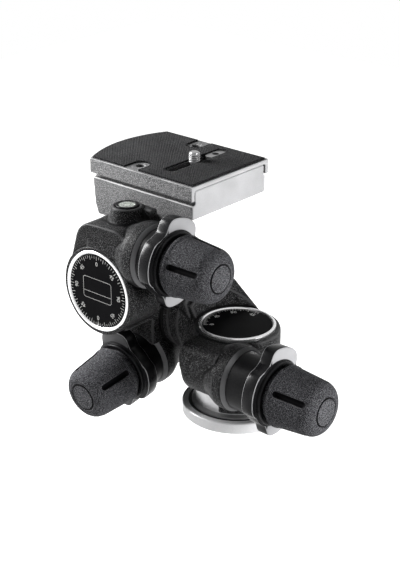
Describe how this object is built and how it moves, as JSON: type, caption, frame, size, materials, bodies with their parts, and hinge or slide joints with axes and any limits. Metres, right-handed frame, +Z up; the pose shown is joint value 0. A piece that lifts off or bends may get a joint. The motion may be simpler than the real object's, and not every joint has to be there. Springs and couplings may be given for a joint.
{
  "type": "geared tripod head",
  "caption": "Geared tripod head: worm-driven pan, lateral tilt and front tilt with knobs and release levers, round base and quick-release camera plate.",
  "frame": {"origin": "centre of the base disc's underside, on the pan axis, at the mouth of the tripod thread", "axes": "+Z up along the pan axis; +X towards the pan knob, along the lateral tilt axis; +Y away from the front tilt dial"},
  "size_m": [0.1798, 0.1179, 0.1424],
  "materials": {
    "bare_aluminium": "fine turned, bare",
    "turned_steel": "turned",
    "bronze": "machined",
    "dark_screw": "blackened",
    "dial_black": "printed black foil with white scale",
    "ring_silver": "fine turned, bright",
    "cast_black": "black crackle coat on a die casting",
    "lever_alloy": "black satin coat, bare faces on the lobes",
    "knob_grey": "dark grey, fine sand texture",
    "receiver_grey": "fine grey crackle coat",
    "plastic_black": "satin",
    "plate_grey": "fine crackle coat with bare edges",
    "pad_rubber": "fine ribbed",
    "vial": "clear"
  },
  "bodies": {
    "base": {"base_disc": "bare_aluminium", "pan_spindle": "turned_steel", "pan_thrust_washer": "bronze", "pan_worm_wheel": "bronze", "pan_retaining_nut": "turned_steel", "pan_dial": "dial_black", "spindle_screws": "dark_screw"},
    "pan_arm": {"pan_housing": "cast_black", "pan_bezel": "ring_silver", "pan_worm_sleeve": "cast_black", "roll_spindle": "turned_steel", "roll_worm_wheel": "bronze", "roll_dial": "dial_black"},
    "pan_drive": {"pan_worm": "turned_steel", "pan_knob": "knob_grey", "pan_knob_cap": "knob_grey"},
    "pan_lever": {"pan_release_lever": "lever_alloy"},
    "main_head": {"main_housing": "cast_black", "tilt_bezel": "ring_silver", "roll_rear_cover": "cast_black", "roll_bezel": "ring_silver", "roll_worm_sleeve": "cast_black", "tilt_worm_sleeve": "cast_black", "cover_screws": "dark_screw", "level_vial": "vial"},
    "roll_drive": {"roll_worm": "turned_steel", "roll_knob": "knob_grey", "roll_knob_cap": "knob_grey"},
    "roll_lever": {"roll_release_lever": "lever_alloy"},
    "tilt_drive": {"tilt_worm": "turned_steel", "tilt_knob": "knob_grey", "tilt_knob_cap": "knob_grey"},
    "tilt_lever": {"tilt_release_lever": "lever_alloy"},
    "receiver_unit": {"tilt_shaft": "turned_steel", "tilt_worm_wheel": "bronze", "tilt_dial": "dial_black", "receiver_bracket": "cast_black", "receiver": "receiver_grey", "bracket_screws": "dark_screw"},
    "jaw": {"clamp_jaw": "plastic_black"},
    "lock": {"lock_lever": "plastic_black"},
    "catch": {"safety_catch": "bronze"},
    "plate": {"camera_plate": "plate_grey", "plate_pad": "pad_rubber", "slot_fitting": "turned_steel"},
    "screw_carrier": {"screw_washer": "plastic_black"},
    "screw": {"camera_screw": "turned_steel"}
  },
  "joints": [
    {"name": "pan", "type": "hinge", "parent": "base", "child": "pan_arm", "pos_m": [0, 0, 0.035], "axis": [0, 0, 1], "continuous": true},
    {"name": "pan_knob_turn", "type": "hinge", "parent": "pan_arm", "child": "pan_drive", "pos_m": [0, -0.0235, 0.035], "axis": [1, 0, 0], "continuous": true},
    {"name": "pan_lever_twist", "type": "hinge", "parent": "pan_arm", "child": "pan_lever", "pos_m": [0.042, -0.0235, 0.035], "axis": [1, 0, 0], "range_deg": [0, 20], "stiffness_Nm_per_rad": 0.3, "springref_deg": -11.46},
    {"name": "lateral_tilt", "type": "hinge", "parent": "pan_arm", "child": "main_head", "pos_m": [-0.045, 0.009, 0.0465], "axis": [1, 0, 0], "range_deg": [-90, 30]},
    {"name": "lateral_knob_turn", "type": "hinge", "parent": "main_head", "child": "roll_drive", "pos_m": [-0.0559, 0.01227, 0.02323], "axis": [0, -0.9903, -0.1392], "range_deg": [-4325, 4325]},
    {"name": "lateral_lever_twist", "type": "hinge", "parent": "main_head", "child": "roll_lever", "pos_m": [-0.0559, -0.02883, 0.01745], "axis": [0, -0.9903, -0.1392], "range_deg": [0, 20], "stiffness_Nm_per_rad": 0.3, "springref_deg": -11.46},
    {"name": "front_tilt", "type": "hinge", "parent": "main_head", "child": "receiver_unit", "pos_m": [-0.0577, -0.025, 0.0701], "axis": [0, 1, 0], "range_deg": [-90, 30]},
    {"name": "front_knob_turn", "type": "hinge", "parent": "main_head", "child": "tilt_drive", "pos_m": [-0.0577, -0.0338, 0.0936], "axis": [1, 0, 0], "range_deg": [-4325, 4325]},
    {"name": "front_lever_twist", "type": "hinge", "parent": "main_head", "child": "tilt_lever", "pos_m": [-0.018, -0.0338, 0.0936], "axis": [1, 0, 0], "range_deg": [0, 20], "stiffness_Nm_per_rad": 0.3, "springref_deg": -11.46},
    {"name": "lock_turn", "type": "hinge", "parent": "receiver_unit", "child": "lock", "pos_m": [-0.06, 0.046, 0.1095], "axis": [0, 1, 0], "range_deg": [0, 75], "stiffness_Nm_per_rad": 0.05, "springref_deg": -17.19},
    {"name": "jaw_slide", "type": "slide", "parent": "receiver_unit", "child": "jaw", "axis": [0, -1, 0], "range_m": [0, 0.0025]},
    {"name": "catch_press", "type": "slide", "parent": "receiver_unit", "child": "catch", "axis": [0, 0, -1], "range_m": [0, 0.003], "stiffness_N_per_m": 150, "springref_m": -0.002},
    {"name": "plate_lift", "type": "slide", "parent": "receiver_unit", "child": "plate", "axis": [0, 0, 1], "range_m": [0, 0.025]},
    {"name": "screw_shift", "type": "slide", "parent": "plate", "child": "screw_carrier", "axis": [0, 1, 0], "range_m": [-0.018, 0.005]},
    {"name": "screw_turn", "type": "hinge", "parent": "screw_carrier", "child": "screw", "pos_m": [-0.0457, 0.017, 0.13], "axis": [0, 0, 1], "continuous": true}
  ],
  "couplings": [
    {"joint": "pan_knob_turn", "follows": "pan", "ratio": 48},
    {"joint": "lateral_knob_turn", "follows": "lateral_tilt", "ratio": 48},
    {"joint": "front_knob_turn", "follows": "front_tilt", "ratio": 48},
    {"joint": "lock_turn", "follows": "jaw_slide", "rad_per_m": 522}
  ]
}
